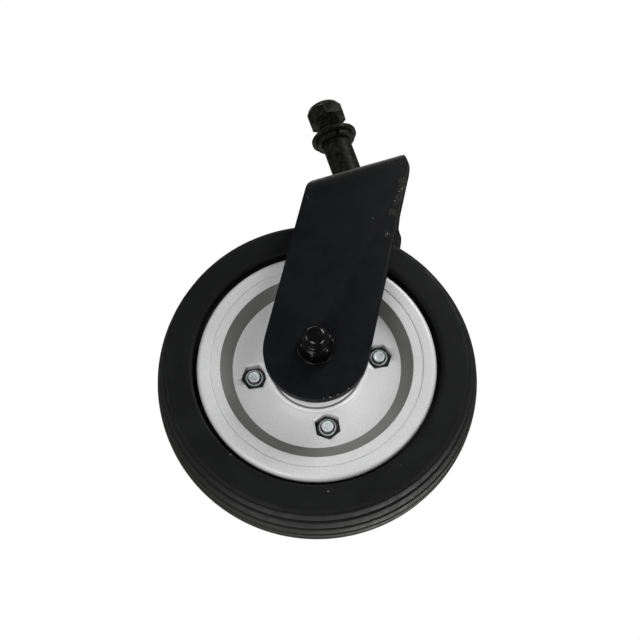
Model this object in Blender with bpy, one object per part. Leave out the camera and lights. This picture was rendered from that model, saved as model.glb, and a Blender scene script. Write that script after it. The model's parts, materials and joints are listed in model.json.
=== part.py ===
"""Swivelling gate wheel: a 152 mm solid-tyred wheel on a split cast rim, held by a raked U fork
on an M12 pivot bolt with a spacer sleeve and two washers.

The frame: metres, +Z up along the swivel axis, origin where that axis meets the top face of the
fork's crown. The axle lies along Y, and the wheel trails towards -X. Front pieces are on the -Y
side, where the cap nut and the rim's nuts are; the bolt heads are on the back, at +Y.
"""
import math

import bmesh
import bpy
from mathutils import Matrix, Vector

MM = 0.001
GAP = 0.25 * MM                  # clearance between two pieces that rest on each other
LOOSE = 0.3 * MM                 # radial clearance of a hole round its bolt

# Layout
TRAIL = 48.8 * MM                # swivel axis to axle, along -X
DROP = 85.0 * MM                 # crown's top face to axle, along -Z
AXLE = Vector((-TRAIL, 0.0, -DROP))

# Fork
FORK_WIDTH = 81.0 * MM           # outside one leg to outside the other
PLATE = 5.0 * MM
BEND_R = 7.0 * MM                # outside radius of the two bends
LEG_END_R = 23.9 * MM            # round lower end, about the axle
BACK_RAKE = math.radians(31.0)   # the legs' trailing edge, from the vertical
FRONT_RAKE = math.radians(30.1)  # the legs' leading edge
CROWN_LEAD_X = 22.0 * MM         # the crown's leading edge, ahead of the swivel axis
CROWN_BACK_R = 10.5 * MM         # the crown's two corners
CROWN_LEAD_R = 2.8 * MM
LEAD_BLEND_R = 9.0 * MM          # where the leading edge turns upright

# Pivot stack, above the crown
THREAD_R = 6.0 * MM              # M12
SLEEVE_R = 7.45 * MM             # it passes through the crown and stands on the pivot nut
SLEEVE_TOP = 35.6 * MM
SPRING_WASHER_R = 10.1 * MM
SPRING_WASHER_H = 2.5 * MM
FLAT_WASHER_R = 11.9 * MM
FLAT_WASHER_H = 2.3 * MM
BOLT_BACKED_OFF = 8.6 * MM       # how far the bolt stands unscrewed, and so its travel
M12_FLATS = 18.4 * MM
M12_HEAD_H = 8.7 * MM
M12_LENGTH = 60.0 * MM
M12_NUT_H = 10.0 * MM

# Axle: an M8 bolt in a 12 mm sleeve
AXLE_BOLT_R = 4.0 * MM
AXLE_SLEEVE_R = 6.0 * MM
M8_FLATS = 13.0 * MM
M8_HEAD_H = 5.3 * MM
M8_LENGTH = 95.0 * MM
M8_NUT_H = 8.0 * MM
CAP_H = 15.0 * MM                # the cap nut with its dome
CAP_DOME_R = 6.1 * MM
CAP_BORE_DEPTH = 10.5 * MM
AXLE_WASHER_R = 8.4 * MM
AXLE_WASHER_H = 1.6 * MM

# Bearings: two of 12 x 32 x 10
BEARING_BORE_R = AXLE_SLEEVE_R + LOOSE
BEARING_OUT_R = 16.0 * MM
BEARING_W = 10.0 * MM
BEARING_MID = 25.4 * MM          # wheel's mid-plane to the bearing's middle
INNER_RACE_R = 8.9 * MM
OUTER_RACE_R = 13.1 * MM
BALL_R = 2.8 * MM
BALL_CIRCLE_R = 11.0 * MM
BALL_COUNT = 7
SEAL_W = 0.7 * MM

# Rim: two cast halves bolted together
HUB_R = 20.0 * MM
HUB_HALF = 31.0 * MM             # mid-plane to the hub's end
DISC_FACE = 17.0 * MM            # mid-plane to the disc's face at the foot of the dish wall
DISH_FOOT_R = 39.0 * MM
DISH_TOP_R = 44.8 * MM
LIP_FACE = 21.6 * MM
LIP_STEP_R = 49.0 * MM
LIP_R = 55.6 * MM
SEAT_R = 45.7 * MM               # where the tyre's bore sits
FLANGE_BACK = 18.0 * MM
WEB_BACK = 13.0 * MM
RIM_BOLT_CIRCLE_R = 29.4 * MM
RIM_BOLT_COUNT = 4
RIM_BOLT_START = math.radians(-8.0)
POCKET_FLATS = 10.6 * MM
NUT_FLOOR = 9.8 * MM             # bottoms of the hexagonal pockets, from the mid-plane
HEAD_FLOOR = 11.8 * MM
BOSS_R = 7.6 * MM

# M6 rim fasteners
M6_R = 3.0 * MM
M6_FLATS = 10.0 * MM
M6_NUT_H = 5.9 * MM
M6_COLLAR_R = 4.5 * MM
M6_LENGTH = 30.0 * MM
M6_HEAD_H = 4.0 * MM

# Tyre
TYRE_R = 75.95 * MM
TYRE_BORE_R = SEAT_R + GAP
TYRE_HALF = 23.3 * MM
BEAD_R = 57.6 * MM               # wall of the recess that the rim's lip sits in
BEAD_EDGE_R = 59.2 * MM
SIDE_EDGE_R = 69.8 * MM          # where the flat sidewall ends
CROWN_DROP = 0.0108 / MM         # the tread's crown: its radius falls by this times width squared
GROOVE_PITCH = 6.5 * MM
GROOVE_COUNT = 6
GROOVE_W = 2.0 * MM
GROOVE_DEPTH = 2.4 * MM

# Finishes: colour, roughness, metallic
BLACK_PAINT = ((0.012, 0.013, 0.015), 0.45, 0.0)
DARK_STEEL = ((0.030, 0.030, 0.028), 0.40, 0.6)
ZINC = ((0.62, 0.64, 0.62), 0.30, 1.0)
BRIGHT_STEEL = ((0.55, 0.56, 0.58), 0.25, 1.0)
SILVER_PAINT = ((0.60, 0.60, 0.60), 0.38, 0.7)
RUBBER = ((0.014, 0.015, 0.015), 0.75, 0.0)
SEAL_RUBBER = ((0.020, 0.020, 0.020), 0.60, 0.0)

TURN_STEPS = 48
SMALL_STEPS = 24


# ---------------------------------------------------------------- helpers

def clear_scene():
    for item in list(bpy.data.objects):
        bpy.data.objects.remove(item, do_unlink=True)


def material(name, finish):
    colour, roughness, metallic = finish
    made = bpy.data.materials.new(name)
    made.use_nodes = True
    shader = made.node_tree.nodes["Principled BSDF"]
    shader.inputs["Base Color"].default_value = (*colour, 1.0)
    shader.inputs["Roughness"].default_value = roughness
    shader.inputs["Metallic"].default_value = metallic
    made.diffuse_color = (*colour, 1.0)
    return made


def place(name, mesh, finish, parent=None):
    piece = bpy.data.objects.new(name, mesh)
    bpy.context.scene.collection.objects.link(piece)
    if finish is not None:
        mesh.materials.clear()
        mesh.materials.append(material(name, finish))
    piece.parent = parent
    return piece


def to_mesh(name, bm):
    bmesh.ops.recalc_face_normals(bm, faces=bm.faces)
    mesh = bpy.data.meshes.new(name)
    bm.to_mesh(mesh)
    bm.free()
    mesh.shade_smooth()
    mesh.set_sharp_from_angle(angle=math.radians(35))
    return mesh


def turned(name, profile, axis="Y", steps=TURN_STEPS):
    """A solid of revolution. The profile is a closed list of (radius, height) points."""
    bm = bmesh.new()
    points = [bm.verts.new((radius, 0.0, height)) for radius, height in profile]
    edges = [bm.edges.new((points[i - 1], points[i])) for i in range(len(points))]
    bmesh.ops.spin(bm, geom=points + edges, cent=(0, 0, 0), axis=(0, 0, 1),
                   angle=math.tau, steps=steps, use_merge=True)
    bmesh.ops.remove_doubles(bm, verts=bm.verts, dist=1e-6)
    loose = [edge for edge in bm.edges if not edge.link_faces]
    bmesh.ops.delete(bm, geom=loose, context="EDGES")
    if axis == "Y":
        bmesh.ops.rotate(bm, verts=bm.verts, matrix=Matrix.Rotation(-math.pi / 2, 3, "X"))
    return to_mesh(name, bm)


def prism(name, outline, low, high, axis="Y"):
    """An outline pushed along an axis. Along Y it holds (x, z) points, along Z (x, y) ones
    and along X (y, z) ones."""
    lift = {"X": lambda a, b: (low, a, b),
            "Y": lambda a, b: (a, low, b),
            "Z": lambda a, b: (a, b, low)}
    move = {"X": (high - low, 0, 0), "Y": (0, high - low, 0), "Z": (0, 0, high - low)}
    bm = bmesh.new()
    face = bm.faces.new([bm.verts.new(lift[axis](a, b)) for a, b in outline])
    grown = bmesh.ops.extrude_face_region(bm, geom=[face])
    top = [item for item in grown["geom"] if isinstance(item, bmesh.types.BMVert)]
    bmesh.ops.translate(bm, verts=top, vec=move[axis])
    return to_mesh(name, bm)


def hexagon(flats, turn=0.0, centre=(0.0, 0.0)):
    """Corners of a hexagon, the first of them at the angle `turn`."""
    corner = flats / math.sqrt(3.0)
    angles = [turn + math.radians(60 * i) for i in range(6)]
    return [(centre[0] + corner * math.cos(a), centre[1] + corner * math.sin(a)) for a in angles]


def circle(radius, steps=SMALL_STEPS, centre=(0.0, 0.0)):
    angles = [math.tau * i / steps for i in range(steps)]
    return [(centre[0] + radius * math.cos(a), centre[1] + radius * math.sin(a)) for a in angles]


def arc(centre, radius, start, end, steps):
    """Points along an arc, from one angle to another in degrees."""
    angles = [math.radians(start + (end - start) * i / steps) for i in range(steps + 1)]
    return [(centre[0] + radius * math.cos(a), centre[1] + radius * math.sin(a)) for a in angles]


def rounded(corner, before, after, radius, steps=4):
    """An arc that replaces the corner between two straight edges."""
    corner, before, after = Vector(corner), Vector(before), Vector(after)
    into = (before - corner).normalized()
    out = (after - corner).normalized()
    half = into.angle(out) / 2
    centre = corner + (into + out).normalized() * radius / math.sin(half)
    start = corner + into * radius / math.tan(half) - centre
    end = corner + out * radius / math.tan(half) - centre
    sweep = start.angle_signed(end)
    return [tuple(centre + Matrix.Rotation(-sweep * i / steps, 2) @ start) for i in range(steps + 1)]


def ring(inner, outer, low, high):
    """Profile of a plain ring for `turned`."""
    return [(inner, low), (outer, low), (outer, high), (inner, high)]


def combine(piece, name, mesh, operation):
    """Cut, join or trim a piece with another mesh, in the piece's own frame."""
    tool = place(name, mesh, None, piece.parent)
    tool.hide_render = True
    tool.display_type = "WIRE"
    step = piece.modifiers.new(name, "BOOLEAN")
    step.operation = operation
    step.solver = "EXACT"
    step.object = tool
    return tool


# ---------------------------------------------------------------- fork

def leg_outline():
    """The fork as seen from the side: a raked strap with a round lower end."""
    cos_b, sin_b = math.cos(BACK_RAKE), math.sin(BACK_RAKE)
    cos_f, sin_f = math.cos(FRONT_RAKE), math.sin(FRONT_RAKE)
    back_foot = Vector((AXLE.x - LEG_END_R * cos_b, AXLE.z + LEG_END_R * sin_b))
    front_foot = Vector((AXLE.x + LEG_END_R * cos_f, AXLE.z - LEG_END_R * sin_f))
    back_top = Vector((back_foot.x - back_foot.y * math.tan(BACK_RAKE), 0.0))
    knee_z = front_foot.y + (CROWN_LEAD_X - front_foot.x) / math.tan(FRONT_RAKE)
    knee = Vector((CROWN_LEAD_X, knee_z))
    lead_top = Vector((CROWN_LEAD_X, 0.0))
    from_angle, to_angle = 180 - math.degrees(BACK_RAKE), 360 - math.degrees(FRONT_RAKE)
    end = arc((AXLE.x, AXLE.z), LEG_END_R, from_angle, to_angle, 20)
    return (end
            + rounded(knee, front_foot, lead_top, LEAD_BLEND_R)
            + rounded(lead_top, knee, back_top, CROWN_LEAD_R)
            + rounded(back_top, lead_top, back_foot, CROWN_BACK_R))


def strap_section():
    """The bent strap as seen from the front: an upside-down U with rounded bends."""
    out = FORK_WIDTH / 2
    inside = out - PLATE
    foot = AXLE.z - 2 * LEG_END_R
    inner_bend = BEND_R - PLATE
    outer = [(-out, foot)] + arc((-out + BEND_R, -BEND_R), BEND_R, 180, 90, 6)
    outer += arc((out - BEND_R, -BEND_R), BEND_R, 90, 0, 6) + [(out, foot)]
    inner = [(inside, foot)] + arc((inside - inner_bend, -PLATE - inner_bend), inner_bend, 0, 90, 3)
    inner += arc((-inside + inner_bend, -PLATE - inner_bend), inner_bend, 90, 180, 3) + [(-inside, foot)]
    return outer + inner


def make_fork():
    far = 2 * TRAIL + LEG_END_R
    fork = place("fork", prism("fork", strap_section(), -far, far, "X"), BLACK_PAINT)
    combine(fork, "leg_shape", prism("leg_shape", leg_outline(), -FORK_WIDTH, FORK_WIDTH), "INTERSECT")
    axle_hole = circle(AXLE_BOLT_R + LOOSE, 20, (AXLE.x, AXLE.z))
    combine(fork, "axle_hole", prism("axle_hole", axle_hole, -FORK_WIDTH, FORK_WIDTH), "DIFFERENCE")
    pivot_hole = circle(SLEEVE_R + LOOSE, 24)
    combine(fork, "pivot_hole", prism("pivot_hole", pivot_hole, -3 * PLATE, 3 * PLATE, "Z"), "DIFFERENCE")


# ---------------------------------------------------------------- pivot stack

def make_pivot_stack(bolt_parent):
    sleeve = ring(THREAD_R + LOOSE, SLEEVE_R, -PLATE, SLEEVE_TOP)
    place("pivot_sleeve", turned("pivot_sleeve", sleeve, "Z", 32), DARK_STEEL)

    spring_low = SLEEVE_TOP + GAP
    spring_high = spring_low + SPRING_WASHER_H
    spring = ring(THREAD_R + LOOSE, SPRING_WASHER_R, spring_low, spring_high)
    washer = place("spring_washer", turned("spring_washer", spring, "Z", 32), DARK_STEEL)
    slit = [(-0.2 * MM, 0.0), (1.0 * MM, 0.0), (2.6 * MM, 12 * MM), (1.4 * MM, 12 * MM)]
    combine(washer, "washer_slit", prism("washer_slit", slit, spring_low - MM, spring_high + MM, "Z"),
            "DIFFERENCE")

    flat_low = spring_high + GAP
    flat_high = flat_low + FLAT_WASHER_H
    flat = ring(THREAD_R + LOOSE, FLAT_WASHER_R, flat_low, flat_high)
    place("flat_washer", turned("flat_washer", flat, "Z", 36), DARK_STEEL)

    head_low = flat_high + GAP + BOLT_BACKED_OFF
    corner_towards_front = math.radians(-100)
    head = hexagon(M12_FLATS, corner_towards_front)
    head_body = prism("pivot_bolt", head, head_low, head_low + M12_HEAD_H, "Z")
    bolt = place("pivot_bolt", head_body, DARK_STEEL, bolt_parent)
    shank = prism("bolt_shank", circle(THREAD_R, 24), head_low - M12_LENGTH, head_low + MM, "Z")
    combine(bolt, "bolt_shank", shank, "UNION")

    nut_top = -PLATE - GAP
    nut_body = prism("pivot_nut", hexagon(M12_FLATS), nut_top - M12_NUT_H, nut_top, "Z")
    nut = place("pivot_nut", nut_body, DARK_STEEL)
    hole = circle(THREAD_R + LOOSE, 24)
    bore = prism("pivot_nut_bore", hole, nut_top - 2 * M12_NUT_H, nut_top + MM, "Z")
    combine(nut, "pivot_nut_bore", bore, "DIFFERENCE")


# ---------------------------------------------------------------- axle

def side_of(front):
    """-1 for the front, at -Y, and +1 for the back."""
    return -1.0 if front else 1.0


def make_axle(hub):
    """The bolt, its washers and cap nut, and the sleeve and spacers that it clamps."""
    leg_face = FORK_WIDTH / 2
    leg_inside = leg_face - PLATE
    washer_face = leg_face + GAP + AXLE_WASHER_H
    for front in (True, False):
        end = "front" if front else "back"
        near, far = side_of(front) * (leg_face + GAP), side_of(front) * washer_face
        name = f"axle_washer_{end}"
        washer = ring(AXLE_BOLT_R + LOOSE, AXLE_WASHER_R, near, far)
        place(name, turned(name, washer, steps=SMALL_STEPS), DARK_STEEL, hub)

    seat = washer_face + GAP
    nut_body = prism("axle_cap_nut", hexagon(M8_FLATS), -seat, -seat - M8_NUT_H)
    nut = place("axle_cap_nut", nut_body, DARK_STEEL, hub)
    dome_low = seat + M8_NUT_H - MM
    dome_centre = seat + CAP_H - CAP_DOME_R
    dome = [(0.0, -dome_low), (CAP_DOME_R, -dome_low)]
    dome += [(r, -z) for r, z in arc((0.0, dome_centre), CAP_DOME_R, 0, 90, 6)]
    combine(nut, "cap_dome", turned("cap_dome", dome, steps=24), "UNION")
    bore = prism("cap_bore", circle(AXLE_BOLT_R + LOOSE, 20), -seat + MM, -seat - CAP_BORE_DEPTH)
    combine(nut, "cap_bore", bore, "DIFFERENCE")

    head = prism("axle_bolt", hexagon(M8_FLATS), seat, seat + M8_HEAD_H)
    bolt = place("axle_bolt", head, ZINC, hub)
    shank = prism("axle_shank", circle(AXLE_BOLT_R, 20), seat - M8_LENGTH, seat + MM)
    combine(bolt, "axle_shank", shank, "UNION")

    tube = ring(AXLE_BOLT_R + LOOSE, AXLE_SLEEVE_R, -leg_inside + GAP, leg_inside - GAP)
    place("axle_sleeve", turned("axle_sleeve", tube, steps=SMALL_STEPS), BRIGHT_STEEL, hub)
    bearing_out = BEARING_MID + BEARING_W / 2
    for front in (True, False):
        name = f"side_spacer_{'front' if front else 'back'}"
        low, high = side_of(front) * (bearing_out + GAP), side_of(front) * (leg_inside - GAP)
        spacer = ring(BEARING_BORE_R, INNER_RACE_R, low, high)
        place(name, turned(name, spacer, steps=SMALL_STEPS), BRIGHT_STEEL, hub)
    reach = BEARING_MID - BEARING_W / 2 - GAP
    spacer = ring(BEARING_BORE_R, 8.6 * MM, -reach, reach)
    place("bearing_spacer", turned("bearing_spacer", spacer, steps=SMALL_STEPS), BRIGHT_STEEL, hub)


# ---------------------------------------------------------------- bearings

def race(inner, outer, groove_side, middle):
    """Profile of a race with its ball groove on the inner or the outer side."""
    low, high = middle - BEARING_W / 2, middle + BEARING_W / 2
    depth = 0.85 * MM
    mouth, floor = 2.3 * MM, 1.0 * MM
    if groove_side == "outside":
        groove = [(outer, middle - mouth), (outer - depth, middle - floor),
                  (outer - depth, middle + floor), (outer, middle + mouth)]
        return [(inner, low), (outer, low)] + groove + [(outer, high), (inner, high)]
    groove = [(inner, middle + mouth), (inner + depth, middle + floor),
              (inner + depth, middle - floor), (inner, middle - mouth)]
    return [(inner, low), (outer, low), (outer, high), (inner, high)] + groove


def make_bearing(end, middle, hub, cages):
    inner = race(BEARING_BORE_R, INNER_RACE_R, "outside", middle)
    outer = race(OUTER_RACE_R, BEARING_OUT_R, "inside", middle)
    name = f"bearing_{end}"
    place(f"{name}_inner_race", turned(name, inner, steps=SMALL_STEPS), BRIGHT_STEEL, hub)
    place(f"{name}_outer_race", turned(name, outer, steps=SMALL_STEPS), BRIGHT_STEEL, hub)

    cage_half = 0.8 * MM
    cage = ring(BALL_CIRCLE_R - cage_half, BALL_CIRCLE_R + cage_half,
                middle - cage_half, middle + cage_half)
    cage_ring = turned(name, cage, steps=BALL_COUNT * 4)
    balls = place(f"{name}_balls_and_cage", cage_ring, BRIGHT_STEEL, cages)
    bm = bmesh.new()
    for i in range(BALL_COUNT):
        angle = math.tau * i / BALL_COUNT
        centre = (BALL_CIRCLE_R * math.cos(angle), middle, BALL_CIRCLE_R * math.sin(angle))
        bmesh.ops.create_icosphere(bm, subdivisions=2, radius=BALL_R, matrix=Matrix.Translation(centre))
    combine(balls, f"{name}_balls", to_mesh(f"{name}_balls", bm), "UNION")

    offset = (BEARING_W - SEAL_W) / 2 - 0.2 * MM
    for side, sign in (("outer", math.copysign(1.0, middle)), ("inner", -math.copysign(1.0, middle))):
        centre = middle + sign * offset
        seal = ring(INNER_RACE_R + LOOSE, OUTER_RACE_R - LOOSE, centre - SEAL_W / 2, centre + SEAL_W / 2)
        place(f"{name}_{side}_seal", turned(name, seal, steps=SMALL_STEPS), SEAL_RUBBER, hub)


# ---------------------------------------------------------------- rim

def rim_profile():
    """Half of the rim's section as (radius, distance from the mid-plane)."""
    bearing_bore = BEARING_OUT_R + LOOSE
    shoulder = BEARING_MID - BEARING_W / 2 - GAP
    face = [
        (HUB_R - 0.6 * MM, HUB_HALF),
        (HUB_R, HUB_HALF - 0.6 * MM),
        (HUB_R, 21.6 * MM),
        (HUB_R + 1.2 * MM, 19.9 * MM),
        (HUB_R + 3.2 * MM, 19.1 * MM),
        (27.5 * MM, 18.1 * MM),
        (33.0 * MM, 17.3 * MM),
        (DISH_FOOT_R, DISC_FACE),
        (DISH_TOP_R, LIP_FACE),
        (LIP_STEP_R, LIP_FACE),
        (LIP_STEP_R + 0.2 * MM, LIP_FACE + 0.35 * MM),
        (LIP_R - 3.0 * MM, LIP_FACE + 0.35 * MM),
        (LIP_R - 0.8 * MM, LIP_FACE - 0.4 * MM),
        (LIP_R, LIP_FACE - 1.6 * MM),
        (LIP_R, FLANGE_BACK),
    ]
    back = [
        (SEAT_R, FLANGE_BACK),
        (SEAT_R, GAP / 2),
        (SEAT_R - 4.2 * MM, GAP / 2),
        (SEAT_R - 4.2 * MM, WEB_BACK),
        (HUB_R - 1.5 * MM, WEB_BACK),
        (HUB_R - 1.5 * MM, GAP / 2),
        (13.5 * MM, GAP / 2),
        (13.5 * MM, shoulder),
        (bearing_bore, shoulder),
        (bearing_bore, HUB_HALF),
    ]
    return face + back


def rim_bolt_places():
    """Angle and (x, z) centre of each rim bolt, about the axle."""
    angles = [RIM_BOLT_START + math.tau * i / RIM_BOLT_COUNT for i in range(RIM_BOLT_COUNT)]
    return [(a, (RIM_BOLT_CIRCLE_R * math.cos(a), RIM_BOLT_CIRCLE_R * math.sin(a))) for a in angles]


def make_rim_half(end, front, hub):
    sign = side_of(front)
    floor = NUT_FLOOR if front else HEAD_FLOOR
    name = f"rim_{end}"
    half = turned(name, [(radius, sign * depth) for radius, depth in rim_profile()])
    rim = place(name, half, SILVER_PAINT, hub)
    for number, (angle, centre) in enumerate(rim_bolt_places(), 1):
        boss = prism("boss", circle(BOSS_R, 20, centre), sign * GAP / 2, sign * (WEB_BACK + MM))
        combine(rim, f"{name}_boss_{number}", boss, "UNION")
    for number, (angle, centre) in enumerate(rim_bolt_places(), 1):
        pocket = prism("pocket", hexagon(POCKET_FLATS, angle, centre), sign * floor, sign * LIP_FACE)
        combine(rim, f"{name}_pocket_{number}", pocket, "DIFFERENCE")
        hole = prism("hole", circle(M6_R + LOOSE, 16, centre), -sign * MM, sign * (floor + MM))
        combine(rim, f"{name}_hole_{number}", hole, "DIFFERENCE")


def make_rim_fasteners(hub):
    """Bolts come through from the back, and locking nuts sit in the front half's pockets."""
    head_seat = HEAD_FLOOR + GAP
    nut_seat = -(NUT_FLOOR + GAP)
    nut_top = nut_seat - M6_NUT_H
    for number, (angle, centre) in enumerate(rim_bolt_places(), 1):
        head = prism("rim_bolt", hexagon(M6_FLATS, angle, centre), head_seat, head_seat + M6_HEAD_H)
        bolt = place(f"rim_bolt_{number}", head, ZINC, hub)
        shank = prism("rim_shank", circle(M6_R, 16, centre), head_seat - M6_LENGTH, head_seat + MM)
        combine(bolt, f"rim_shank_{number}", shank, "UNION")

        hex_top = nut_top + 1.6 * MM
        body = prism("rim_nut", hexagon(M6_FLATS, angle, centre), nut_seat, hex_top)
        nut = place(f"rim_nut_{number}", body, ZINC, hub)
        collar = prism("rim_collar", circle(M6_COLLAR_R, 20, centre), hex_top + MM, nut_top)
        combine(nut, f"rim_collar_{number}", collar, "UNION")
        bore = prism("rim_nut_bore", circle(M6_R + LOOSE, 16, centre), nut_seat + MM, nut_top - MM)
        combine(nut, f"rim_nut_bore_{number}", bore, "DIFFERENCE")


# ---------------------------------------------------------------- tyre

def tread_radius(across):
    """The tread's radius at a distance from the mid-plane."""
    return TYRE_R - CROWN_DROP * across ** 2


def groove(middle):
    """A tread groove's points, crossing it towards +Y."""
    low, high = middle - GROOVE_W / 2, middle + GROOVE_W / 2
    floor = tread_radius(middle) - GROOVE_DEPTH
    return [(tread_radius(low), low), (floor, low + GROOVE_W / 4),
            (floor, high - GROOVE_W / 4), (tread_radius(high), high)]


def tyre_profile():
    side = [
        (TYRE_BORE_R, FLANGE_BACK - GAP),
        (BEAD_R, FLANGE_BACK - GAP),
        (BEAD_R, TYRE_HALF - 1.4 * MM),
        (BEAD_EDGE_R, TYRE_HALF),
        (SIDE_EDGE_R - 1.0 * MM, TYRE_HALF - 0.7 * MM),
        (SIDE_EDGE_R, TYRE_HALF - 1.3 * MM),
        (SIDE_EDGE_R + 0.2 * MM, TYRE_HALF - 2.0 * MM),
        (SIDE_EDGE_R + 1.2 * MM, TYRE_HALF - 2.1 * MM),
    ]
    low_side = [(radius, -depth) for radius, depth in side]
    tread = []
    for i in range(GROOVE_COUNT):
        tread += groove((i - (GROOVE_COUNT - 1) / 2) * GROOVE_PITCH)
    return low_side + tread + list(reversed(side))


# ---------------------------------------------------------------- assembly

def main():
    clear_scene()
    hub = bpy.data.objects.new("axle_centre", None)
    hub.location = AXLE
    cages = bpy.data.objects.new("cage_axis", None)
    cages.location = AXLE
    bolt_line = bpy.data.objects.new("pivot_bolt_line", None)
    for empty in (hub, cages, bolt_line):
        bpy.context.scene.collection.objects.link(empty)

    make_fork()
    make_pivot_stack(bolt_line)
    make_axle(hub)
    make_bearing("front", -BEARING_MID, hub, cages)
    make_bearing("back", BEARING_MID, hub, cages)
    make_rim_half("front", True, hub)
    make_rim_half("back", False, hub)
    make_rim_fasteners(hub)
    place("tyre", turned("tyre", tyre_profile()), RUBBER, hub)


main()
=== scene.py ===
"""The looks of the swivelling gate wheel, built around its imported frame.

The frame: metres, +Z up along the swivel axis, origin on top of the fork's crown, the axle along Y
and the cap nut at its -Y end. Every visible piece is modelled again here in finer detail, inside the
space of the node that it stands for. The pieces hidden in the hub keep their nodes, with new materials.
"""
import json
import math

import bmesh
import bpy
from mathutils import Matrix, Vector


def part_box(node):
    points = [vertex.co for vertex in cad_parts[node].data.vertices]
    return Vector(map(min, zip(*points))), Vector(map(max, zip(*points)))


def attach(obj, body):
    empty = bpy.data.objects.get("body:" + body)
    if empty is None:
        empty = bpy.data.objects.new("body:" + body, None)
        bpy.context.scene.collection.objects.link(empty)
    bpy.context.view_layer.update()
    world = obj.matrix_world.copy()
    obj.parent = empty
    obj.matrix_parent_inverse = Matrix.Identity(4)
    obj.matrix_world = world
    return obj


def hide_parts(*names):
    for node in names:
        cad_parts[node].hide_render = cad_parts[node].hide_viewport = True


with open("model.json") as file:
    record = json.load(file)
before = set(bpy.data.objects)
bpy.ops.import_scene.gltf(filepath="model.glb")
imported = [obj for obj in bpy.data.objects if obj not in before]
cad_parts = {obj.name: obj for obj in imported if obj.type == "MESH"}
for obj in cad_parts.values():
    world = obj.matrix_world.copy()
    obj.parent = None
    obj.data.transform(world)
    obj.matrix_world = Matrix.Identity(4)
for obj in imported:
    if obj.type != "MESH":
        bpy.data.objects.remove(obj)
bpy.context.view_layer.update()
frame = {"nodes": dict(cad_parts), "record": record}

MM = 0.001
GAP = 0.25 * MM                  # clearance between two pieces that rest on each other
LOOSE = 0.3 * MM                 # radial clearance of a hole round its bolt
OVERLAP = 0.5 * MM               # how far two bodies of one piece run into each other

BODY_OF = {node: body for body, nodes in frame["record"]["behaviour"]["bodies"].items() for node in nodes}


def middle(node):
    low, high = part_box(node)
    return (low + high) / 2


AXLE = middle("tyre")

TURN_STEPS = 192
SMALL_STEPS = 72


# ---------------------------------------------------------------- outlines

def circle(radius, steps=SMALL_STEPS, centre=(0.0, 0.0)):
    angles = [math.tau * i / steps for i in range(steps)]
    return [(centre[0] + radius * math.cos(a), centre[1] + radius * math.sin(a)) for a in angles]


def hexagon(flats, turn=0.0, centre=(0.0, 0.0)):
    """Corners of a hexagon, the first of them at the angle `turn`."""
    corner = flats / math.sqrt(3.0)
    angles = [turn + math.radians(60 * i) for i in range(6)]
    return [(centre[0] + corner * math.cos(a), centre[1] + corner * math.sin(a)) for a in angles]


def rounded(corner, before, after, radius, steps):
    """An arc that replaces the corner between two straight edges."""
    corner, before, after = Vector(corner), Vector(before), Vector(after)
    into = (before - corner).normalized()
    out = (after - corner).normalized()
    half = into.angle(out) / 2
    centre = corner + (into + out).normalized() * radius / math.sin(half)
    start = corner + into * radius / math.tan(half) - centre
    end = corner + out * radius / math.tan(half) - centre
    sweep = start.angle_signed(end)
    return [tuple(centre + Matrix.Rotation(-sweep * i / steps, 2) @ start) for i in range(steps + 1)]


def softened(corners, steps=5):
    """A closed outline from corners given as (a, b, radius), in millimetres."""
    outline = []
    for i, (a, b, radius) in enumerate(corners):
        if radius <= 0:
            outline.append((a * MM, b * MM))
            continue
        before, after = corners[i - 1][:2], corners[(i + 1) % len(corners)][:2]
        arc = rounded((a, b), before, after, radius, steps)
        outline += [(x * MM, y * MM) for x, y in arc]
    return outline


def ring(inner, outer, low, high, edge=0.3):
    """Profile of a ring with eased edges, from sizes in millimetres."""
    low, high = sorted((low, high))
    corners = [(inner, low), (outer, low), (outer, high), (inner, high)]
    return softened([(r, h, edge) for r, h in corners], 3)


# ---------------------------------------------------------------- meshes

def to_mesh(name, bm, sharp=35.0):
    bmesh.ops.recalc_face_normals(bm, faces=bm.faces)
    mesh = bpy.data.meshes.new(name)
    bm.to_mesh(mesh)
    bm.free()
    mesh.shade_smooth()
    mesh.set_sharp_from_angle(angle=math.radians(sharp))
    return mesh


def turned(name, profile, axis="Y", centre=(0.0, 0.0, 0.0), steps=TURN_STEPS):
    """A solid of revolution about an axis through `centre`, from a closed (radius, height) profile."""
    bm = bmesh.new()
    rows = []
    for radius, height in profile:
        if radius < 1e-7:
            rows.append([bm.verts.new((0.0, 0.0, height))] * steps)
        else:
            rows.append([bm.verts.new((x, y, height)) for x, y in circle(radius, steps)])
    for i, row in enumerate(rows):
        below = rows[i - 1]
        for j in range(steps):
            corners = (below[j - 1], below[j], row[j], row[j - 1])
            face = list(dict.fromkeys(corners))
            if len(face) > 2:
                bm.faces.new(face)
    if axis == "Y":
        bmesh.ops.rotate(bm, verts=bm.verts, matrix=Matrix.Rotation(-math.pi / 2, 3, "X"))
    bmesh.ops.translate(bm, verts=bm.verts, vec=centre)
    return to_mesh(name, bm)


def prism(name, outline, low, high, axis="Y"):
    """An outline pushed along an axis. Along Y it holds (x, z) points, along Z (x, y) ones
    and along X (y, z) ones."""
    return lofted(name, [(low, outline), (high, outline)], axis)


def lofted(name, sections, axis="Y"):
    """A closed solid through outlines of equal point count, given as (height, outline)."""
    lift = {"X": lambda a, b, h: (h, a, b),
            "Y": lambda a, b, h: (a, h, b),
            "Z": lambda a, b, h: (a, b, h)}
    bm = bmesh.new()
    rows = [[bm.verts.new(lift[axis](a, b, h)) for a, b in outline] for h, outline in sections]
    for below, row in zip(rows, rows[1:]):
        for j in range(len(row)):
            bm.faces.new((below[j - 1], below[j], row[j], row[j - 1]))
    bm.faces.new(rows[0])
    bm.faces.new(rows[-1])
    return to_mesh(name, bm)


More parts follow.
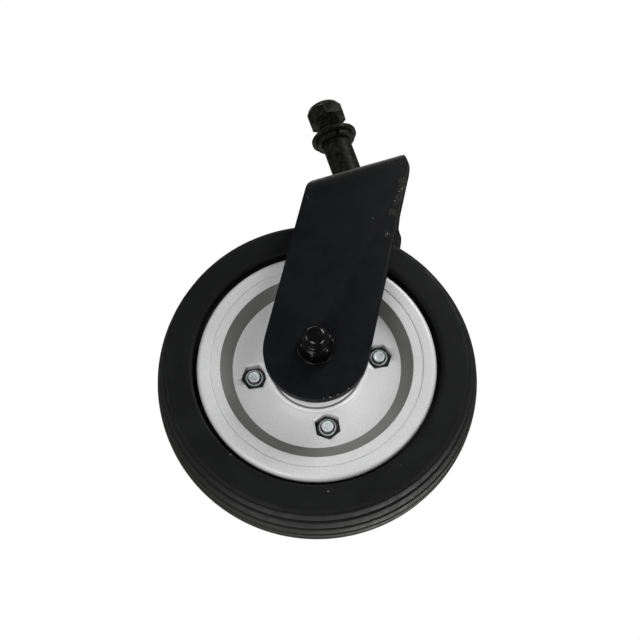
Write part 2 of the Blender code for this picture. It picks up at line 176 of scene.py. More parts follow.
def threaded(name, radius, pitch, low, high, axis="Y", centre=(0.0, 0.0), steps=40):
    """A threaded rod with a chamfer at both ends."""
    depth = 0.58 * pitch
    count = round((high - low) / pitch * 8)
    sections = []
    for i in range(count + 1):
        height = low + (high - low) * i / count
        end = min(height - low, high - height)
        limit = radius - max(0.0, depth - end)
        outline = []
        for j in range(steps):
            angle = math.tau * j / steps
            turn = (height / pitch + j / steps) % 1.0
            crest = min(1.0, max(0.0, 1.35 * abs(2 * turn - 1) - 0.15))
            reach = min(radius - depth * (1 - crest), limit)
            outline.append((centre[0] + reach * math.cos(angle), centre[1] + reach * math.sin(angle)))
        sections.append((height, outline))
    return lofted(name, sections, axis)


def combine(piece, mesh, operation="DIFFERENCE"):
    """Cuts, joins or trims a piece with another mesh, and keeps the result as its mesh."""
    tool = bpy.data.objects.new("tool", mesh)
    bpy.context.scene.collection.objects.link(tool)
    step = piece.modifiers.new("combine", "BOOLEAN")
    step.operation = operation
    step.solver = "EXACT"
    step.object = tool
    settle(piece)
    bpy.data.objects.remove(tool, do_unlink=True)


def settle(piece):
    """Applies the piece's modifiers."""
    bpy.context.view_layer.update()
    evaluated = piece.evaluated_get(bpy.context.evaluated_depsgraph_get())
    made = bpy.data.meshes.new_from_object(evaluated)
    made.name = piece.data.name
    piece.modifiers.clear()
    piece.data = made


def bevelled(piece, width, segments=3, angle=40.0):
    step = piece.modifiers.new("bevel", "BEVEL")
    step.width = width
    step.segments = segments
    step.limit_method = "ANGLE"
    step.angle_limit = math.radians(angle)
    step.use_clamp_overlap = True
    settle(piece)


def add_piece(node, mesh, slot, *materials):
    """A detailed piece that stands for a CAD node and rides on its body."""
    piece = bpy.data.objects.new(f"{node}_detail", mesh)
    bpy.context.scene.collection.objects.link(piece)
    mesh.materials.clear()
    for material in materials:
        mesh.materials.append(material)
    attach(piece, BODY_OF[node])
    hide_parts(node)
    return piece


def joined(name, meshes):
    """One mesh from several that don't touch."""
    bm = bmesh.new()
    for mesh in meshes:
        bm.from_mesh(mesh)
    return to_mesh(name, bm)


# ---------------------------------------------------------------- sizes that materials use too

BACK_RAKE = math.radians(31.0)
FRONT_RAKE = math.radians(30.1)

TYRE_R = 75.95                   # the tread's sizes are in millimetres
CROWN_DROP = 0.0108              # the tread's radius falls by this times width squared
GROOVE_PITCH = 6.5
GROOVE_COUNT = 6
GROOVE_W = 2.0
GROOVE_DEPTH = 2.4


# ---------------------------------------------------------------- materials

class Finish:
    """A procedural material, with short names for the nodes that it is made of."""

    def __init__(self, name, roughness=0.5, metallic=0.0, specular=0.5):
        self.material = bpy.data.materials.new(name)
        self.material.use_nodes = True
        self.nodes = self.material.node_tree.nodes
        self.links = self.material.node_tree.links
        self.shader = self.nodes["Principled BSDF"]
        self.shader.inputs["Roughness"].default_value = roughness
        self.shader.inputs["Metallic"].default_value = metallic
        self.shader.inputs["Specular IOR Level"].default_value = specular
        self.place = self.nodes.new("ShaderNodeTexCoord").outputs["Object"]

    def feed(self, socket, value):
        if isinstance(value, bpy.types.NodeSocket):
            self.links.new(value, socket)
        else:
            socket.default_value = value

    def set(self, socket, value):
        self.feed(self.shader.inputs[socket], value)

    def noise(self, size, detail=3.0, place=None):
        """Noise from 0 to 1 whose features are about `size` metres across."""
        node = self.nodes.new("ShaderNodeTexNoise")
        node.inputs["Scale"].default_value = 1.0 / size
        node.inputs["Detail"].default_value = detail
        self.links.new(place or self.place, node.inputs["Vector"])
        return node.outputs["Fac"]

    def ramp(self, value, low, high, from_value=0.0, to_value=1.0):
        """A value from `low` to `high`, spread smoothly over from_value to to_value."""
        node = self.nodes.new("ShaderNodeMapRange")
        node.interpolation_type = "SMOOTHSTEP"
        for socket, number in (("From Min", low), ("From Max", high), ("To Min", from_value), ("To Max", to_value)):
            node.inputs[socket].default_value = number
        self.links.new(value, node.inputs["Value"])
        return node.outputs["Result"]

    def math(self, operation, first, second=0.0):
        node = self.nodes.new("ShaderNodeMath")
        node.operation = operation
        self.feed(node.inputs[0], first)
        self.feed(node.inputs[1], second)
        return node.outputs[0]

    def vector(self, operation, first, second):
        node = self.nodes.new("ShaderNodeVectorMath")
        node.operation = operation
        self.feed(node.inputs[0], first)
        self.feed(node.inputs[1], second)
        return node.outputs["Value" if operation in ("LENGTH", "DISTANCE") else "Vector"]

    def mix(self, amount, first, second):
        """A blend of two colours."""
        node = self.nodes.new("ShaderNodeMix")
        node.data_type = "RGBA"
        self.feed(node.inputs["Factor"], amount)
        for socket, colour in ((node.inputs[6], first), (node.inputs[7], second)):
            self.feed(socket, colour if isinstance(colour, bpy.types.NodeSocket) else (*colour, 1.0))
        return node.outputs[2]

    def bump(self, height, depth, under=None):
        """Relief `depth` metres deep, on top of another bump if one is given."""
        node = self.nodes.new("ShaderNodeBump")
        node.inputs["Strength"].default_value = 1.0
        node.inputs["Distance"].default_value = depth
        self.links.new(height, node.inputs["Height"])
        if under is not None:
            self.links.new(under, node.inputs["Normal"])
        return node.outputs["Normal"]

    def part(self, axis):
        """One coordinate of the place on the piece."""
        node = self.nodes.new("ShaderNodeSeparateXYZ")
        self.links.new(self.place, node.inputs[0])
        return node.outputs[axis]

    def from_axle(self):
        """Distance from the axle's line."""
        moved = self.vector("SUBTRACT", self.place, tuple(AXLE))
        flat = self.vector("MULTIPLY", moved, (1.0, 0.0, 1.0))
        return self.vector("LENGTH", flat, (0.0, 0.0, 0.0))

    def spots(self, spots, ragged):
        """A mask that is 1 inside ragged spots, given as (place, radius)."""
        wobble = self.nodes.new("ShaderNodeTexNoise")
        wobble.inputs["Scale"].default_value = 1.0 / ragged
        self.links.new(self.place, wobble.inputs["Vector"])
        shift = self.vector("SUBTRACT", wobble.outputs["Color"], (0.5, 0.5, 0.5))
        shift = self.vector("MULTIPLY", shift, (3 * ragged,) * 3)
        moved = self.vector("ADD", self.place, shift)
        mask = 0.0
        for centre, radius in spots:
            distance = self.vector("DISTANCE", moved, tuple(centre))
            mask = self.math("MAXIMUM", mask, self.math("LESS_THAN", distance, radius))
        return mask


CHIPS = (
    (64.2, 65.1, 0.42), (63.2, 64.8, 0.30), (61.4, 63.8, 0.30), (58.1, 59.9, 0.34), (53.9, 54.3, 0.20),
    (48.2, 44.3, 0.18), (48.9, 44.4, 0.20), (49.6, 44.3, 0.16), (45.0, 54.0, 0.16), (19.5, 74.5, 0.18),
    (-4.0, -23.6, 0.35), (-1.0, -23.8, 0.40), (2.5, -23.7, 0.30), (8.0, -22.4, 0.22),
)
SCUFFS = (
    (65.2, 68.3, 2.4), (63.4, 64.6, 2.2), (60.5, 61.2, 1.8), (57.8, 58.2, 1.6), (55.0, 54.2, 2.0),
    (49.0, 44.3, 1.6),
)
WORN_EDGE = (22.2, 22.7, 23.0, 23.35)    # where the rubbed line beside the leading edge starts and ends


def on_leg(spots, front):
    """Centres and radii on the front leg's outer face, from (x, z, radius) off the axle in millimetres."""
    return [(Vector((AXLE.x + x * MM, front, AXLE.z + z * MM)), radius * MM) for x, z, radius in spots]


def edge_wear(paint):
    """A rubbed line beside the legs' leading edge, on their upper part."""
    across = paint.math("MULTIPLY", paint.math("SUBTRACT", paint.part("X"), AXLE.x), math.cos(FRONT_RAKE))
    along = paint.math("MULTIPLY", paint.math("SUBTRACT", paint.part("Z"), AXLE.z), math.sin(FRONT_RAKE))
    out = paint.math("SUBTRACT", across, along)
    start, full, fading, end = WORN_EDGE
    line = paint.math("MULTIPLY", paint.ramp(out, start * MM, full * MM),
                      paint.ramp(out, fading * MM, end * MM, 1.0, 0.0))
    line = paint.math("MULTIPLY", line, paint.ramp(paint.part("Z"), -75 * MM, -45 * MM))
    return paint.math("MULTIPLY", line, paint.ramp(paint.noise(1.1 * MM, 5), 0.38, 0.62, 0.15, 1.0))


def black_paint():
    """Satin black paint with a faint orange peel, olive dust and a painted highlight on the crown, and small chips."""
    paint = Finish("black_paint", specular=0.12)
    patches = paint.ramp(paint.noise(9 * MM, 4), 0.35, 0.68)
    colour = paint.mix(patches, (0.0040, 0.0044, 0.0052), (0.0056, 0.0060, 0.0070))
    # The crown's top bend is painted lighter olive: dust on it, and a painted highlight where the light falls on the
    # bend.
    upper = paint.ramp(paint.part("Z"), -9 * MM, -1 * MM)
    crown_dust_and_highlight = paint.math("MULTIPLY", upper, paint.ramp(paint.noise(2.2 * MM, 5), 0.3, 0.7, 0.4, 1.0))
    colour = paint.mix(crown_dust_and_highlight, colour, (0.0170, 0.0175, 0.0140))

    low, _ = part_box("fork")
    front = low.y
    bare = paint.spots(on_leg(CHIPS, front), 0.6 * MM)
    rubbed = paint.spots(on_leg(SCUFFS, front), 1.5 * MM)
    rubbed = paint.math("MULTIPLY", rubbed, paint.ramp(paint.noise(0.5 * MM, 5), 0.46, 0.60))
    colour = paint.mix(rubbed, colour, (0.045, 0.045, 0.037))
    colour = paint.mix(paint.math("MULTIPLY", bare, 0.9), colour, (0.30, 0.29, 0.25))
    colour = paint.mix(edge_wear(paint), colour, (0.028, 0.026, 0.022))
    paint.set("Base Color", colour)
    rough = paint.ramp(paint.noise(3 * MM, 4), 0.3, 0.7, 0.46, 0.58)
    paint.set("Roughness", rough)
    peel = paint.bump(paint.noise(0.55 * MM, 2), 0.012 * MM)
    paint.set("Normal", paint.bump(paint.noise(7 * MM, 2), 0.05 * MM, peel))
    return paint.material


def black_oxide(name, light, dark, specular, smoothest, roughest):
    """Oiled black oxide on steel, thinned on the worn spots."""
    oxide = Finish(name, specular=specular)
    patches = oxide.ramp(oxide.noise(2.5 * MM, 5), 0.35, 0.7)
    colour = oxide.mix(patches, dark, light)
    worn = oxide.ramp(oxide.noise(0.8 * MM, 6), 0.66, 0.74)
    colour = oxide.mix(oxide.math("MULTIPLY", worn, 0.4), colour, (0.06, 0.058, 0.048))
    oxide.set("Base Color", colour)
    oxide.set("Roughness", oxide.ramp(oxide.noise(1.2 * MM, 4), 0.3, 0.7, smoothest, roughest))
    oxide.set("Normal", oxide.bump(oxide.noise(0.35 * MM, 3), 0.012 * MM))
    return oxide.material


def zinc_plate(name, light, dark):
    """Zinc plate with fine grain and dull patches, from its lightest and darkest colour."""
    zinc = Finish(name, metallic=0.25)
    patches = zinc.ramp(zinc.noise(1.6 * MM, 4), 0.3, 0.7)
    colour = zinc.mix(patches, dark, light)
    pits = zinc.ramp(zinc.noise(0.35 * MM, 5), 0.60, 0.72)
    colour = zinc.mix(zinc.math("MULTIPLY", pits, 0.6), colour, tuple(0.5 * part for part in dark))
    zinc.set("Base Color", colour)
    zinc.set("Roughness", zinc.ramp(zinc.noise(0.9 * MM, 4), 0.3, 0.7, 0.32, 0.48))
    zinc.set("Normal", zinc.bump(zinc.noise(0.25 * MM, 3), 0.015 * MM))
    return zinc.material


def shaded_nylon():
    """The locking ring in a nut, near black as painted shade of the recess round the bolt's end."""
    ring_nylon = Finish("nylon_ring_in_painted_shade", specular=0.4)
    cloud = ring_nylon.ramp(ring_nylon.noise(0.8 * MM, 3), 0.3, 0.7)
    ring_nylon.set("Base Color", ring_nylon.mix(cloud, (0.008, 0.009, 0.010), (0.014, 0.015, 0.016)))
    ring_nylon.set("Roughness", ring_nylon.ramp(cloud, 0.0, 1.0, 0.4, 0.55))
    ring_nylon.set("Normal", ring_nylon.bump(ring_nylon.noise(0.3 * MM, 2), 0.01 * MM))
    return ring_nylon.material


def silver_paint(name, light, dark, metallic, smoothest=0.36):
    """Fine-grained silver paint, from its lightest and darkest colour."""
    silver = Finish(name, metallic=metallic, specular=0.4)
    grain = silver.ramp(silver.noise(0.32 * MM, 4), 0.32, 0.70)
    colour = silver.mix(grain, dark, light)
    cloud = silver.ramp(silver.noise(11 * MM, 4), 0.35, 0.70)
    colour = silver.mix(silver.math("MULTIPLY", cloud, 0.35), colour, dark)
    specks = silver.ramp(silver.noise(0.5 * MM, 6), 0.72, 0.76)
    colour = silver.mix(silver.math("MULTIPLY", specks, 0.5), colour, (0.20, 0.19, 0.17))
    silver.set("Base Color", colour)
    silver.set("Roughness", silver.ramp(silver.noise(2.4 * MM, 5), 0.3, 0.7, smoothest, smoothest + 0.12))
    cast = silver.bump(silver.noise(0.4 * MM, 4), 0.02 * MM)
    silver.set("Normal", silver.bump(silver.noise(5 * MM, 3), 0.06 * MM, cast))
    return silver.material


def bearing_steel():
    """Ground steel with fine rings about the axle."""
    steel = Finish("bearing_steel", metallic=1.0)
    radius = steel.from_axle()
    join = steel.nodes.new("ShaderNodeCombineXYZ")
    steel.links.new(radius, join.inputs[0])
    steel.links.new(steel.part("Y"), join.inputs[1])
    rings = steel.noise(0.12 * MM, 3, join.outputs[0])
    colour = steel.mix(steel.ramp(rings, 0.3, 0.7), (0.44, 0.45, 0.46), (0.62, 0.63, 0.64))
    steel.set("Base Color", colour)
    steel.set("Roughness", steel.ramp(steel.noise(1.5 * MM, 4), 0.3, 0.7, 0.18, 0.32))
    steel.set("Normal", steel.bump(rings, 0.006 * MM))
    return steel.material


def tyre_rubber():
    """Dark rubber with a dry bloom, dustier on the tread, with painted shade on the tread towards its shoulders and in
    its grooves, and a few light specks on the wall.
    """
    rubber = Finish("tyre_rubber", specular=0.16)
    cloud = rubber.ramp(rubber.noise(14 * MM, 5), 0.35, 0.70)
    wall = rubber.mix(cloud, (0.0046, 0.0049, 0.0053), (0.0066, 0.0070, 0.0075))
    dusty = rubber.ramp(rubber.noise(2.0 * MM, 6), 0.25, 0.80)
    tread = rubber.mix(dusty, (0.0140, 0.0150, 0.0125), (0.0200, 0.0212, 0.0172))
    # Painted shade: the tread is blended back towards the wall's dark colour towards its shoulders.
    off_middle = rubber.math("ABSOLUTE", rubber.part("Y"))
    tread = rubber.mix(rubber.ramp(off_middle, 4 * MM, 19 * MM, 0.0, 0.8), tread, wall)
    radius = rubber.from_axle()
    colour = rubber.mix(rubber.ramp(radius, 70.6 * MM, 71.8 * MM), wall, tread)
    across = rubber.part("Y")
    crown = rubber.math("MULTIPLY", rubber.math("MULTIPLY", across, across), CROWN_DROP / MM)
    level = rubber.math("ADD", radius, crown)
    # Painted shade: the tread below its own level, in the grooves and the step at the shoulder, is made near black.
    groove_shade = rubber.math("SUBTRACT", 1.0, rubber.ramp(level, (TYRE_R - 1.2) * MM, (TYRE_R - 0.1) * MM))
    groove_shade = rubber.math("MULTIPLY", groove_shade, rubber.ramp(radius, 70.3 * MM, 70.5 * MM))
    colour = rubber.mix(groove_shade, colour, (0.0012, 0.0012, 0.0012))
    places = ((-50.0, -30.0, 0.35), (-53.0, -48.0, 0.25), (-13.5, -59.5, 0.32), (21.0, -58.0, 0.2), (38.0, 50.5, 0.22))
    low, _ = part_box("tyre")
    specks = [(Vector((AXLE.x + x * MM, low.y + 0.3 * MM, AXLE.z + z * MM)), r * MM) for x, z, r in places]
    colour = rubber.mix(rubber.spots(specks, 0.5 * MM), colour, (0.22, 0.21, 0.18))
    rubber.set("Base Color", colour)
    rubber.set("Roughness", rubber.ramp(rubber.noise(4 * MM, 5), 0.3, 0.7, 0.52, 0.66))
    skin = rubber.bump(rubber.noise(0.45 * MM, 4), 0.02 * MM)
    rubber.set("Normal", rubber.bump(rubber.noise(6 * MM, 3), 0.05 * MM, skin))
    return rubber.material


def seal_rubber():
    seal = Finish("seal_rubber", specular=0.35)
    cloud = seal.ramp(seal.noise(2 * MM, 4), 0.3, 0.7)
    seal.set("Base Color", seal.mix(cloud, (0.016, 0.016, 0.016), (0.030, 0.030, 0.028)))
    seal.set("Roughness", seal.ramp(cloud, 0.0, 1.0, 0.5, 0.65))
    seal.set("Normal", seal.bump(seal.noise(0.3 * MM, 3), 0.012 * MM))
    return seal.material


PAINT = black_paint()
OXIDE = black_oxide("black_oxide", (0.0180, 0.0180, 0.0138), (0.0040, 0.0040, 0.0034), 0.07, 0.38, 0.54)
GLOSSY_OXIDE = black_oxide("glossy_black_oxide", (0.0035, 0.0035, 0.0034), (0.0012, 0.0012, 0.0012),
                           0.30, 0.12, 0.20)
ZINC = zinc_plate("zinc_plate", (0.86, 0.93, 0.93), (0.68, 0.74, 0.74))
# A darker copy of the zinc: painted shade on the nut bodies deep in their pockets and on the bolt shanks inside their
# holes.
SHADED_ZINC = zinc_plate("zinc_in_painted_shade", (0.085, 0.088, 0.084), (0.045, 0.047, 0.044))
SHADED_NYLON = shaded_nylon()
SILVER = silver_paint("silver_paint", (0.79, 0.79, 0.795), (0.65, 0.65, 0.655), 0.08)
# A darker grey silver for the cone between disc and flat, and as painted shade in the groove round the hub.
DARK_SILVER_AND_SHADE = silver_paint("dark_silver_and_painted_shade", (0.225, 0.225, 0.216), (0.175, 0.175, 0.168), 0.25)
# A lighter, smoother silver for the bead round the hub; its lighter colour is a painted highlight.
BEAD_HIGHLIGHT_SILVER = silver_paint("bead_painted_highlight_silver", (0.92, 0.92, 0.92), (0.86, 0.86, 0.86), 0.1, 0.28)
STEEL = bearing_steel()
RUBBER = tyre_rubber()
SEAL = seal_rubber()


# ---------------------------------------------------------------- fork

FORK_LOW, FORK_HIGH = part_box("fork")
FORK_HALF = FORK_HIGH.y
PLATE = 5.0 * MM
BEND_R = 7.0 * MM
LEG_END_R = AXLE.z - FORK_LOW.z
CROWN_BACK_R = 10.5 * MM
CROWN_LEAD_R = 2.8 * MM
LEAD_BLEND_R = 9.0 * MM
SLEEVE_R = 7.45 * MM
AXLE_BOLT_R = 4.0 * MM


def arc(centre, radius, start, end, steps):
    """Points along an arc, from one angle to another in degrees."""
    angles = [math.radians(start + (end - start) * i / steps) for i in range(steps + 1)]
    return [(centre[0] + radius * math.cos(a), centre[1] + radius * math.sin(a)) for a in angles]


def leg_outline():
    """The fork as seen from the side: a raked strap with a round lower end."""
    cos_b, sin_b = math.cos(BACK_RAKE), math.sin(BACK_RAKE)
    cos_f, sin_f = math.cos(FRONT_RAKE), math.sin(FRONT_RAKE)
    back_foot = Vector((AXLE.x - LEG_END_R * cos_b, AXLE.z + LEG_END_R * sin_b))
    front_foot = Vector((AXLE.x + LEG_END_R * cos_f, AXLE.z - LEG_END_R * sin_f))
    back_top = Vector((back_foot.x - back_foot.y * math.tan(BACK_RAKE), 0.0))
    lead_x = FORK_HIGH.x
    knee = Vector((lead_x, front_foot.y + (lead_x - front_foot.x) / math.tan(FRONT_RAKE)))
    lead_top = Vector((lead_x, 0.0))
    from_angle, to_angle = 180 - math.degrees(BACK_RAKE), 360 - math.degrees(FRONT_RAKE)
    end = arc((AXLE.x, AXLE.z), LEG_END_R, from_angle, to_angle, 64)
    return (end
            + rounded(knee, front_foot, lead_top, LEAD_BLEND_R, 12)
            + rounded(lead_top, knee, back_top, CROWN_LEAD_R, 10)
            + rounded(back_top, lead_top, back_foot, CROWN_BACK_R, 10))


def strap_section():
    """The bent strap as seen from the front: an upside-down U with rounded bends."""
    out, inside = FORK_HALF, FORK_HALF - PLATE
    foot = FORK_LOW.z - LEG_END_R
    inner_bend = BEND_R - PLATE
    outer = [(-out, foot)] + arc((-out + BEND_R, -BEND_R), BEND_R, 180, 90, 18)
    outer += arc((out - BEND_R, -BEND_R), BEND_R, 90, 0, 18) + [(out, foot)]
    inner = [(inside, foot)] + arc((inside - inner_bend, -PLATE - inner_bend), inner_bend, 0, 90, 8)
    inner += arc((-inside + inner_bend, -PLATE - inner_bend), inner_bend, 90, 180, 8) + [(-inside, foot)]
    return outer + inner


def make_fork():
    fork = add_piece("fork", prism("fork", strap_section(), FORK_LOW.x - PLATE, FORK_HIGH.x + PLATE, "X"),
                     "black_paint", PAINT)
    reach = 2 * FORK_HALF
    combine(fork, prism("leg_shape", leg_outline(), -reach, reach), "INTERSECT")
    axle_hole = circle(AXLE_BOLT_R + LOOSE, 48, (AXLE.x, AXLE.z))
    combine(fork, prism("axle_hole", axle_hole, -reach, reach))
    combine(fork, prism("pivot_hole", circle(SLEEVE_R + LOOSE), -2 * PLATE, 2 * PLATE, "Z"))
    bevelled(fork, 0.55 * MM, 4)


# ---------------------------------------------------------------- nuts and bolt heads

def nut_form(flats, low, high, ends="both"):
    """Profile that trims a hexagon's corners to a cone at one or both of its faces."""
    corner = flats / math.sqrt(3.0) + OVERLAP
    face = 0.475 * flats
    drop = (corner - face) * math.tan(math.radians(30))
    down = low < high
    near, far = low, high
    step = drop if down else -drop
    start = [(0.0, near), (corner, near)] if ends == "far" else [(0.0, near), (face, near), (corner, near + step)]
    return start + [(corner, far - step), (face, far), (0.0, far)]


def hexagonal(piece, name, flats, turn, centre, low, high, profile, axis="Y"):
    """Gives a piece the mesh of a hexagon trimmed by a turned profile."""
    piece.data = with_materials(prism(name, hexagon(flats, turn, centre), min(low, high), max(low, high), axis), piece)
    place = (centre[0], 0.0, centre[1]) if axis == "Y" else (centre[0], centre[1], 0.0)
    combine(piece, turned("trim", profile, axis, place, SMALL_STEPS), "INTERSECT")


def with_materials(mesh, piece):
    for material in piece.data.materials:
        mesh.materials.append(material)
    return mesh


# ---------------------------------------------------------------- pivot stack

M12_FLATS = 18.4 * MM
M12_PITCH = 1.75 * MM
M12_HEAD_H = 8.7 * MM
HEAD_TURN = math.radians(-100)


def make_sleeve():
    low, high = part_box("pivot_sleeve")
    profile = ring(6.3, SLEEVE_R / MM, low.z / MM, high.z / MM, 0.45)
    add_piece("pivot_sleeve", turned("pivot_sleeve", profile, "Z", steps=96), "blackened_steel", OXIDE)


def make_spring_washer():
    """A split ring, wound so that its two ends don't quite line up."""
    low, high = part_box("spring_washer")
    lift = 0.45 * MM
    thick = (high.z - low.z) - lift
    inner, outer = 6.4 * MM, high.x
    split = math.radians(-84)
    opening = math.radians(9)
    steps = 96
    section = rounded_box(inner, outer, 0.0, thick, 0.25 * MM)
    bm = bmesh.new()
    rows = []
    for i in range(steps + 1):
        angle = split + opening / 2 + (math.tau - opening) * i / steps
        rise = low.z + lift * i / steps
        rows.append([bm.verts.new((r * math.cos(angle), r * math.sin(angle), rise + z)) for r, z in section])
    for below, row in zip(rows, rows[1:]):
        for j in range(len(row)):
            bm.faces.new((below[j - 1], below[j], row[j], row[j - 1]))
    bm.faces.new(rows[0])
    bm.faces.new(rows[-1])
    add_piece("spring_washer", to_mesh("spring_washer", bm), "blackened_steel", OXIDE)


def rounded_box(left, right, low, high, radius):
    corners = [(left, low), (right, low), (right, high), (left, high)]
    return softened([(a / MM, b / MM, radius / MM) for a, b in corners], 3)


def make_flat_washer():
    low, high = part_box("flat_washer")
    profile = softened([(6.4, low.z / MM, 0.2), (high.x / MM, low.z / MM, 0.25),
                        (high.x / MM, high.z / MM, 0.9), (6.4, high.z / MM, 0.3)])
    add_piece("flat_washer", turned("flat_washer", profile, "Z", steps=96), "blackened_steel", OXIDE)


def make_pivot_bolt():
    """A forged hexagonal head, its corners well rounded towards the top, on a threaded shank."""
    low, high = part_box("pivot_bolt")
    head_low = high.z - M12_HEAD_H
    base = head_low / MM
    bolt = add_piece("pivot_bolt", bpy.data.meshes.new("pivot_bolt"), "blackened_steel", OXIDE)
    top = high.z / MM
    trim = softened([(0.0, base, 0), (9.7, base, 0), (11.0, base + 0.9, 0.3), (11.0, base + 4.2, 1.4),
                     (9.3, base + 6.3, 1.6), (8.2, top, 1.4), (0.0, top, 0)])
    hexagonal(bolt, "pivot_bolt", M12_FLATS, HEAD_TURN, (0.0, 0.0), head_low, high.z, trim, "Z")
    shank = threaded("thread", 6.0 * MM, M12_PITCH, low.z, head_low + OVERLAP, "Z", steps=48)
    combine(bolt, shank, "UNION")
    bevelled(bolt, 0.18 * MM, 2, 50)


def make_pivot_nut():
    low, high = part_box("pivot_nut")
    nut = add_piece("pivot_nut", bpy.data.meshes.new("pivot_nut"), "blackened_steel", OXIDE)
    trim = nut_form(M12_FLATS, low.z, high.z)
    hexagonal(nut, "pivot_nut", M12_FLATS, 0.0, (0.0, 0.0), low.z, high.z, trim, "Z")
    combine(nut, prism("bore", circle(6.3 * MM), low.z - MM, high.z + MM, "Z"))


# ---------------------------------------------------------------- axle

M8_FLATS = 13.0 * MM
AXLE_SPOT = (AXLE.x, AXLE.z)


def make_axle_washers():
    for end in ("front", "back"):
        node = f"axle_washer_{end}"
        low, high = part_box(node)
        radius = (high.x - low.x) / 2 / MM
        profile = ring(4.3, radius, low.y / MM, high.y / MM, 0.3)
        add_piece(node, turned(node, profile, centre=(AXLE.x, 0, AXLE.z), steps=96),
                  "blackened_steel", GLOSSY_OXIDE)


def make_cap_nut():
    """A domed nut: the hexagon, a turned neck and a dome with a small point."""
    low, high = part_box("axle_cap_nut")
    seat, tip = high.y, low.y
    hex_end = seat - 8.0 * MM
    nut = add_piece("axle_cap_nut", bpy.data.meshes.new("axle_cap_nut"), "blackened_steel", GLOSSY_OXIDE)
    hexagonal(nut, "axle_cap_nut", M8_FLATS, 0.0, AXLE_SPOT, seat, hex_end, nut_form(M8_FLATS, seat, hex_end))
    neck, point = -hex_end / MM, -tip / MM
    dome = softened([(0.0, neck - 0.5, 0), (5.75, neck - 0.5, 0), (5.75, neck + 0.7, 0.3), (6.1, neck + 1.2, 0.4),
                     (6.1, neck + 3.2, 2.2), (4.1, neck + 6.3, 2.6), (0.9, point - 0.1, 0.5), (0.0, point, 0)], 8)
    dome = [(r, -h) for r, h in dome]
    combine(nut, turned("dome", dome, centre=(AXLE.x, 0, AXLE.z), steps=SMALL_STEPS), "UNION")
    bore = circle(AXLE_BOLT_R + LOOSE, 40, AXLE_SPOT)
    combine(nut, prism("bore", bore, seat - 10.5 * MM, seat + MM))


def make_axle_bolt():
    low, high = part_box("axle_bolt")
    seat = high.y - 5.3 * MM
    bolt = add_piece("axle_bolt", bpy.data.meshes.new("axle_bolt"), "zinc_plate", ZINC)
    hexagonal(bolt, "axle_bolt", M8_FLATS, 0.0, AXLE_SPOT, seat, high.y, nut_form(M8_FLATS, seat, high.y, "far"))
    dish = [(0.0, high.y - 0.5 * MM), (4.6 * MM, high.y - 0.5 * MM), (5.1 * MM, high.y + MM), (0.0, high.y + MM)]
    combine(bolt, turned("dish", dish, centre=(AXLE.x, 0, AXLE.z), steps=SMALL_STEPS))
    shank = ring_rod(AXLE_BOLT_R, low.y, seat + OVERLAP, 0.6 * MM)
    combine(bolt, turned("shank", shank, centre=(AXLE.x, 0, AXLE.z), steps=40), "UNION")


def ring_rod(radius, low, high, chamfer):
    """Profile of a solid rod with a chamfer at its low end."""
    return [(0.0, low), (radius - chamfer, low), (radius, low + chamfer), (radius, high), (0.0, high)]


def make_side_spacers():
    for end in ("front", "back"):
        node = f"side_spacer_{end}"
        low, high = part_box(node)
        radius = (high.x - low.x) / 2 / MM
        profile = ring(6.3, radius, low.y / MM, high.y / MM, 0.4)
        add_piece(node, turned(node, profile, centre=(AXLE.x, 0, AXLE.z), steps=96), "bearing_steel", STEEL)


# ---------------------------------------------------------------- rim

BOLT_CIRCLE_R = 29.4 * MM
BOLT_START = math.radians(-8.0)
POCKET_FLATS = 11.0 * MM
M6_FLATS = 10.0 * MM
M6_R = 3.0 * MM
DARK_CONE_INNER_R = 39.35 * MM        # the darker grey cone between the disc and the rim's outer flat
DARK_CONE_OUTER_R = 44.45 * MM

# Half of the rim's section: radius, distance from the mid-plane, and the corner's rounding
RIM_SECTION = (
    (20.0, 31.0, 0.6), (20.0, 20.9, 0.3), (20.7, 19.8, 0.3), (21.4, 19.8, 0.2), (21.9, 20.6, 0.3),
    (22.9, 20.7, 0.5), (24.0, 19.0, 0.9),
    (27.5, 18.1, 20.0), (33.0, 17.3, 30.0), (39.0, 17.0, 0.45), (44.8, 21.6, 0.5), (48.9, 21.6, 0.1),
    (49.1, 21.25, 0.08), (49.45, 21.95, 0.2), (55.6, 21.95, 2.3), (55.6, 18.0, 0.3),
    (45.7, 18.0, 0), (45.7, 0.125, 0), (41.5, 0.125, 0), (41.5, 13.0, 0), (18.5, 13.0, 0), (18.5, 0.125, 0),
    (13.5, 0.125, 0), (13.5, 20.15, 0), (16.3, 20.15, 0), (16.3, 31.0, 0.4),
)


def bolt_places():
    """Angle and (x, z) centre of each rim bolt."""
    angles = [BOLT_START + math.tau * i / 4 for i in range(4)]
    return [(a, (AXLE.x + BOLT_CIRCLE_R * math.cos(a), AXLE.z + BOLT_CIRCLE_R * math.sin(a))) for a in angles]


def pocket_cutter(angle, centre, floor, sign):
    """A hexagonal pocket whose mouth flares out to the disc's face."""
    flare = ((floor, 0.0), (17.0 * MM, 0.0), (17.4 * MM, 0.15), (17.7 * MM, 0.45), (18.0 * MM, 1.1), (19.0 * MM, 3.8))
    sections = []
    for depth, grow in flare:
        outline = rounded_hexagon(POCKET_FLATS + grow * MM, angle, centre)
        sections.append((sign * depth, outline))
    return lofted("pocket", sections)


def rounded_hexagon(flats, turn, centre, radius=0.5 * MM):
    corners = hexagon(flats, turn, centre)
    outline = []
    for i in range(6):
        outline += rounded(corners[i], corners[i - 1], corners[(i + 1) % 6], radius, 4)
    return outline


